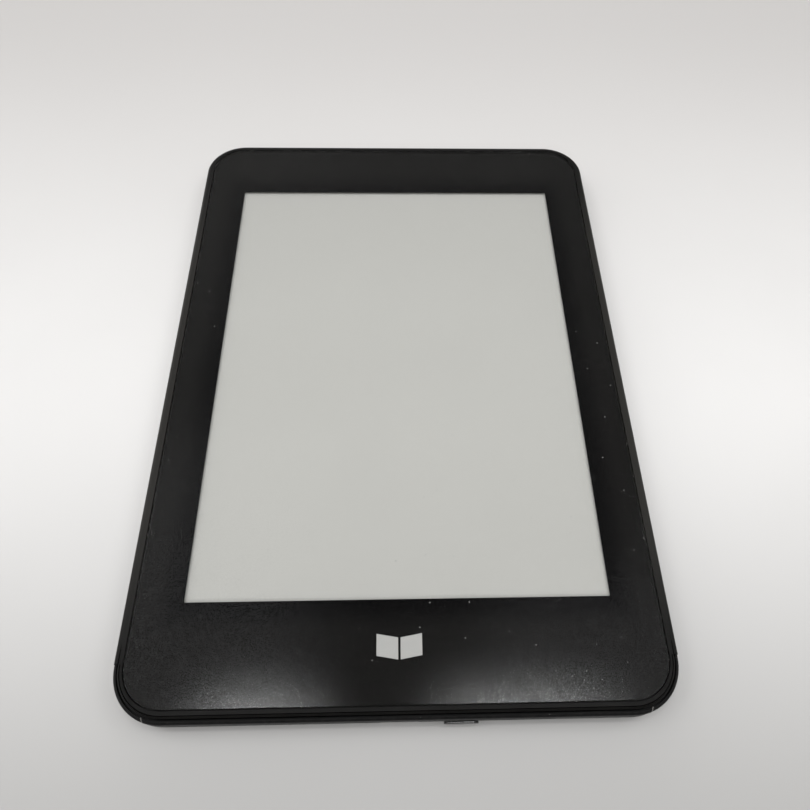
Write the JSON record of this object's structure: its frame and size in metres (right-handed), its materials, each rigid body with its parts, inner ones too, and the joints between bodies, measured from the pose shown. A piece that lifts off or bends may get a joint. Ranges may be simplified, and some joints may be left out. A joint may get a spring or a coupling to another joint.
{
  "type": "e-reader",
  "caption": "Six-inch e-reader with a flush matt front, grey e-paper screen, black border, satin rim, soft-touch back, charging port and a power button on the bottom edge.",
  "frame": {"origin": "middle of the flat back face, under the middle of the bounding box", "axes": "+X to the reader's right, +Y towards the top of the screen, +Z out of the screen; the power button and port are on the -Y side"},
  "size_m": [0.116, 0.1676, 0.0082],
  "materials": {
    "lens_clear": "clear sheet with a fine matt anti-glare face",
    "border_ink": "black print under the lens",
    "mark_ink": "light grey print",
    "gasket_black": "adhesive foam",
    "touch_film": "clear film",
    "guide_clear": "clear acrylic sheet",
    "flex_amber": "amber polyimide flex",
    "led_white": "phosphor face",
    "epaper_grey": "matt paper-like film",
    "backplane": "coated substrate",
    "chip_black": "moulded epoxy",
    "foam_grey": "closed-cell foam",
    "frame_satin": "satin fine-textured moulding",
    "cover_soft": "soft-touch coated moulding",
    "plate_metal": "cast magnesium, bare",
    "screw_steel": "zinc plated",
    "board_green": "solder mask",
    "shield_metal": "tinned steel",
    "passive_tan": "ceramic body",
    "port_steel": "bright pressed steel",
    "port_plastic": "moulded insulator",
    "contact_gold": "gold plated",
    "seal_rubber": "silicone rubber",
    "button_gloss": "glossy dark metallic",
    "switch_case": "moulded nylon",
    "switch_black": "moulded nylon",
    "light_diffuser": "milky clear plastic",
    "battery_foil": "laminated foil pouch",
    "adhesive_white": "double-sided tape",
    "wire_red": "insulated wire",
    "connector_ivory": "moulded connector body",
    "insulator_film": "black polyester film"
  },
  "bodies": {
    "housing": {"front_lens": "lens_clear", "lens_border_print": "border_ink", "front_mark": "mark_ink", "lens_gasket": "gasket_black", "touch_sensor": "touch_film", "light_guide": "guide_clear", "light_flex": "flex_amber", "light_leds": "led_white", "epaper_film": "epaper_grey", "epaper_backplane": "backplane", "display_driver": "chip_black", "panel_cushion": "foam_grey", "front_frame": "frame_satin", "midframe": "plate_metal", "frame_screws": "screw_steel", "board_insulator": "insulator_film", "main_board": "board_green", "board_screws": "screw_steel", "processor": "chip_black", "memory_chip": "chip_black", "storage_chip": "chip_black", "power_chip": "chip_black", "radio_module": "chip_black", "rf_shield": "shield_metal", "hall_sensor": "chip_black", "board_passives": "passive_tan", "usb_shell": "port_steel", "usb_tongue": "port_plastic", "usb_contacts": "contact_gold", "usb_seal": "seal_rubber", "power_switch_case": "switch_case", "charge_light": "led_white", "light_pipe": "light_diffuser", "battery": "battery_foil", "battery_lead": "wire_red", "battery_plug": "connector_ivory", "battery_socket": "connector_ivory", "battery_adhesive": "adhesive_white", "battery_foam": "foam_grey", "display_ribbon": "flex_amber", "touch_ribbon": "flex_amber", "light_ribbon": "flex_amber", "display_connector": "connector_ivory", "touch_connector": "connector_ivory", "light_connector": "connector_ivory", "antenna_flex": "flex_amber", "antenna_contact": "contact_gold", "housing_seal": "seal_rubber", "rear_cover": "cover_soft"},
    "power_button": {"power_button": "button_gloss", "button_seal": "seal_rubber"},
    "switch_plunger": {"power_switch_plunger": "switch_black"}
  },
  "joints": [
    {"name": "button_press", "type": "slide", "parent": "housing", "child": "power_button", "axis": [0, 1, 0], "range_m": [0, 0.00025], "stiffness_N_per_m": 6000},
    {"name": "plunger_press", "type": "slide", "parent": "housing", "child": "switch_plunger", "axis": [0, 1, 0], "range_m": [0, 0.00025]}
  ],
  "couplings": [
    {"joint": "plunger_press", "follows": "button_press", "ratio": 1}
  ]
}
